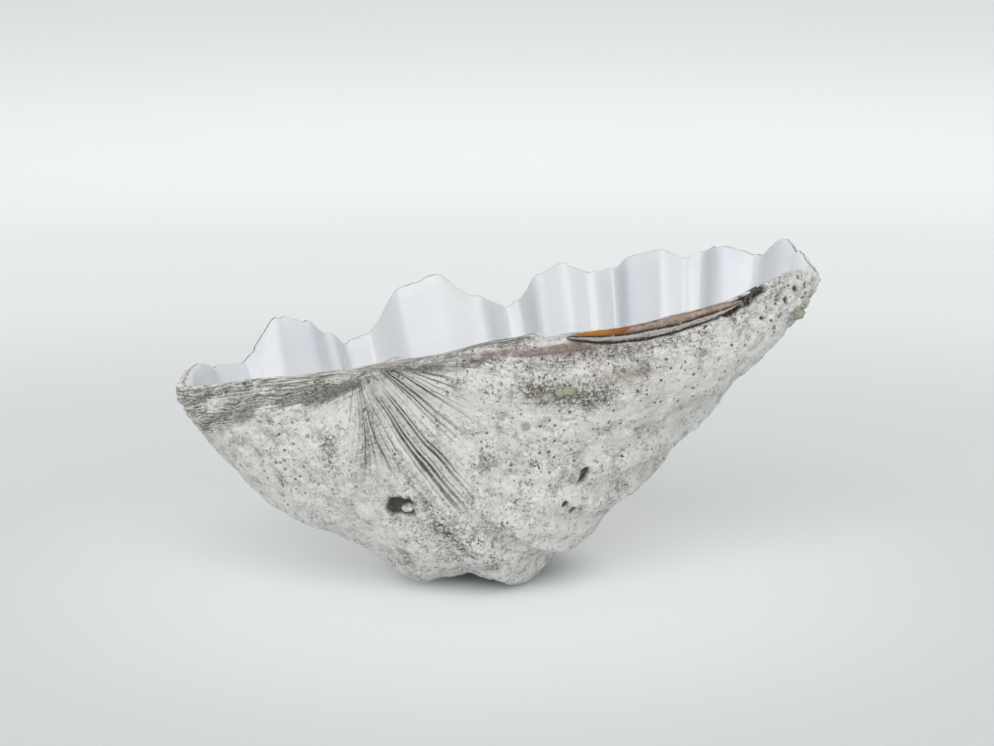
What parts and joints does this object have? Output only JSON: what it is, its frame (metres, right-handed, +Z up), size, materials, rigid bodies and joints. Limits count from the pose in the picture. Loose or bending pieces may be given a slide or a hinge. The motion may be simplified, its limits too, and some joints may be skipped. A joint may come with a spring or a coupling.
{
  "type": "giant clam shell",
  "caption": "Giant clam valve resting on its ribbed belly, scalloped bowl open upwards, chalky weathered outside, smooth white inside and a dried hinge ligament",
  "frame": {"origin": "the middle of the footprint on the ground, under the middle of the bounding box", "axes": "+X runs along the hinge from the front end to the high back end, +Y from the hinge to the scalloped edge, +Z up out of the bowl"},
  "size_m": [0.6382, 0.3856, 0.3284],
  "materials": {
    "chalky_shell": "matte, chalky and pitted outside, smooth porcelain inside",
    "dried_ligament": "dry and horny, amber where it is thin"
  },
  "bodies": {
    "root": {"valve": "chalky_shell", "ligament": "dried_ligament"}
  },
  "joints": []
}
